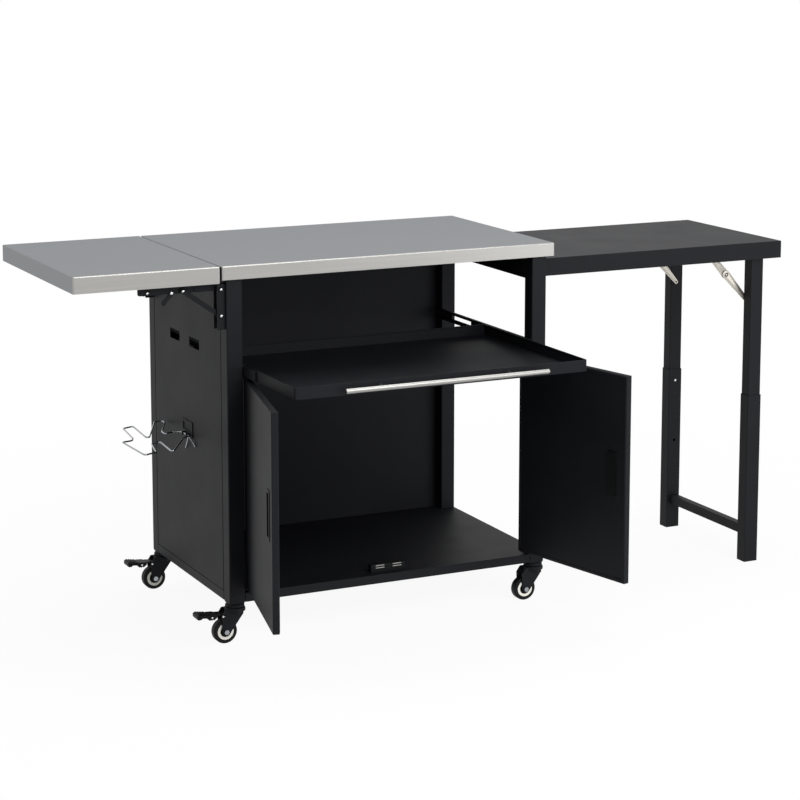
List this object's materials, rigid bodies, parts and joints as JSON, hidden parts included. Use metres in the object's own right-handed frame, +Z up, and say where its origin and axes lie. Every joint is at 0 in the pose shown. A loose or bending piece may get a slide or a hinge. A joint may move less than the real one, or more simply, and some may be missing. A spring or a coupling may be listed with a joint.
{
  "type": "grill prep cart",
  "caption": "Rolling grill prep cart: stainless worktop with drop-leaf shelf, slide-out tray, double-door cabinet, folding side table with telescopic legs, bag ring and swivel casters.",
  "frame": {"origin": "centre of the cart's whole plan at floor level", "axes": "+X along the worktop's front edge towards the folding side table, +Y to the back, +Z up"},
  "size_m": [1.97, 0.9138, 0.92],
  "materials": {
    "stainless": "fine brushed",
    "black_steel": "matt powder coat",
    "zinc_steel": "bright zinc plate",
    "chrome_wire": "bright plated wire",
    "black_plastic": "moulded",
    "tyre_rubber": "matt rubber",
    "hub_plastic": "moulded"
  },
  "bodies": {
    "cart": {"worktop": "stainless", "worktop_base": "black_steel", "left_panel": "black_steel", "back_panel": "black_steel", "bottom_shelf": "black_steel", "side_rail": "black_steel", "table_hinges": "zinc_steel", "tray_rails": "black_steel", "door_pivots": "black_steel", "magnetic_catch": "black_plastic", "catch_magnets": "zinc_steel", "bracket_wall_plates": "black_steel", "caster_mounts": "black_steel", "ring_bracket": "black_steel", "frame_screws": "zinc_steel", "front_left_post": "black_steel", "front_right_post": "black_steel", "rear_left_post": "black_steel", "rear_right_post": "black_steel"},
    "side_shelf": {"side_shelf": "stainless", "side_shelf_base": "black_steel", "bracket_arms": "black_steel", "bracket_rivets": "zinc_steel"},
    "bracket_struts": {"bracket_struts": "black_steel"},
    "release_levers": {"release_levers": "black_steel"},
    "tray": {"slide_out_tray": "black_steel", "tray_handle": "stainless", "tray_runners": "black_steel"},
    "left_door": {"left_door": "black_steel", "left_door_pull": "black_plastic", "left_strike": "zinc_steel"},
    "right_door": {"right_door": "black_steel", "right_door_pull": "black_plastic", "right_strike": "zinc_steel"},
    "side_table": {"table_top": "black_steel", "table_hinge_leaves": "zinc_steel"},
    "upper_legs": {"upper_leg_frame": "black_steel"},
    "lower_legs": {"lower_leg_frame": "black_steel", "foot_caps": "black_plastic"},
    "upper_braces": {"upper_brace_links": "zinc_steel"},
    "lower_braces": {"lower_brace_links": "zinc_steel"},
    "bag_ring": {"bag_ring": "chrome_wire"},
    "front_left_caster": {"front_left_fork": "black_steel", "front_left_axle": "zinc_steel"},
    "front_left_wheel": {"front_left_tyre": "tyre_rubber", "front_left_hub": "hub_plastic"},
    "front_left_brake": {"front_left_brake_pedal": "black_plastic"},
    "front_right_caster": {"front_right_fork": "black_steel", "front_right_axle": "zinc_steel"},
    "front_right_wheel": {"front_right_tyre": "tyre_rubber", "front_right_hub": "hub_plastic"},
    "rear_left_caster": {"rear_left_fork": "black_steel", "rear_left_axle": "zinc_steel"},
    "rear_left_wheel": {"rear_left_tyre": "tyre_rubber", "rear_left_hub": "hub_plastic"},
    "rear_left_brake": {"rear_left_brake_pedal": "black_plastic"},
    "rear_right_caster": {"rear_right_fork": "black_steel", "rear_right_axle": "zinc_steel"},
    "rear_right_wheel": {"rear_right_tyre": "tyre_rubber", "rear_right_hub": "hub_plastic"}
  },
  "joints": [
    {"name": "side_shelf_fold", "type": "hinge", "parent": "cart", "child": "side_shelf", "pos_m": [-0.619, 0.1719, 0.863], "axis": [0, -1, 0], "range_deg": [0, 90]},
    {"name": "strut_fold", "type": "hinge", "parent": "cart", "child": "bracket_struts", "pos_m": [-0.619, 0.1719, 0.8], "axis": [0, -1, 0], "range_deg": [0, 125.45]},
    {"name": "lever_fold", "type": "hinge", "parent": "side_shelf", "child": "release_levers", "pos_m": [-0.738, 0.1719, 0.861], "axis": [0, 1, 0], "range_deg": [0, 45.5]},
    {"name": "tray_slide", "type": "slide", "parent": "cart", "child": "tray", "axis": [0, 1, 0], "range_m": [-0.06, 0.29]},
    {"name": "left_door_swing", "type": "hinge", "parent": "cart", "child": "left_door", "pos_m": [-0.555, -0.0911, 0.3975], "axis": [0, 0, 1], "range_deg": [-12, 103]},
    {"name": "right_door_swing", "type": "hinge", "parent": "cart", "child": "right_door", "pos_m": [0.195, -0.0911, 0.3975], "axis": [0, 0, 1], "range_deg": [-103, 12]},
    {"name": "side_table_lift", "type": "hinge", "parent": "cart", "child": "side_table", "pos_m": [0.2535, 0.1719, 0.868], "axis": [0, -1, 0], "range_deg": [0, 25]},
    {"name": "leg_fold", "type": "hinge", "parent": "side_table", "child": "upper_legs", "pos_m": [0.921, 0.1719, 0.85], "axis": [0, 1, 0], "range_deg": [0, 90]},
    {"name": "leg_telescope", "type": "slide", "parent": "upper_legs", "child": "lower_legs", "axis": [0, 0, 1], "range_m": [0, 0.234]},
    {"name": "upper_brace_fold", "type": "hinge", "parent": "side_table", "child": "upper_braces", "pos_m": [0.778, 0.1719, 0.86], "axis": [0, -1, 0], "range_deg": [0, 46.58]},
    {"name": "lower_brace_fold", "type": "hinge", "parent": "upper_legs", "child": "lower_braces", "pos_m": [0.917, 0.1719, 0.707], "axis": [0, 1, 0], "range_deg": [0, 41.09]},
    {"name": "bag_ring_fold", "type": "hinge", "parent": "cart", "child": "bag_ring", "pos_m": [-0.6155, 0.1729, 0.462], "axis": [0, 1, 0], "range_deg": [0, 88]},
    {"name": "front_left_swivel", "type": "hinge", "parent": "cart", "child": "front_left_caster", "pos_m": [-0.589, -0.0781, 0.0876], "axis": [0, 0, 1], "continuous": true},
    {"name": "front_left_roll", "type": "hinge", "parent": "front_left_caster", "child": "front_left_wheel", "pos_m": [-0.617, -0.0781, 0.03], "axis": [0, 1, 0], "continuous": true},
    {"name": "front_left_brake_press", "type": "hinge", "parent": "front_left_caster", "child": "front_left_brake", "pos_m": [-0.618, -0.0781, 0.07], "axis": [0, -1, 0], "range_deg": [0, 10]},
    {"name": "front_right_swivel", "type": "hinge", "parent": "cart", "child": "front_right_caster", "pos_m": [0.229, -0.0781, 0.0876], "axis": [0, 0, 1], "continuous": true},
    {"name": "front_right_roll", "type": "hinge", "parent": "front_right_caster", "child": "front_right_wheel", "pos_m": [0.201, -0.0781, 0.03], "axis": [0, 1, 0], "continuous": true},
    {"name": "rear_left_swivel", "type": "hinge", "parent": "cart", "child": "rear_left_caster", "pos_m": [-0.589, 0.4219, 0.0876], "axis": [0, 0, 1], "continuous": true},
    {"name": "rear_left_roll", "type": "hinge", "parent": "rear_left_caster", "child": "rear_left_wheel", "pos_m": [-0.617, 0.4219, 0.03], "axis": [0, 1, 0], "continuous": true},
    {"name": "rear_left_brake_press", "type": "hinge", "parent": "rear_left_caster", "child": "rear_left_brake", "pos_m": [-0.618, 0.4219, 0.07], "axis": [0, -1, 0], "range_deg": [0, 10]},
    {"name": "rear_right_swivel", "type": "hinge", "parent": "cart", "child": "rear_right_caster", "pos_m": [0.229, 0.4219, 0.0876], "axis": [0, 0, 1], "continuous": true},
    {"name": "rear_right_roll", "type": "hinge", "parent": "rear_right_caster", "child": "rear_right_wheel", "pos_m": [0.201, 0.4219, 0.03], "axis": [0, 1, 0], "continuous": true}
  ],
  "couplings": [
    {"joint": "strut_fold", "follows": "side_shelf_fold", "ratio": 1.3883},
    {"joint": "lever_fold", "follows": "side_shelf_fold", "ratio": 0.5},
    {"joint": "leg_telescope", "follows": "leg_fold", "m_per_rad": 0.14833},
    {"joint": "upper_brace_fold", "follows": "leg_fold", "ratio": 0.51202},
    {"joint": "lower_brace_fold", "follows": "leg_fold", "ratio": 0.45102}
  ]
}
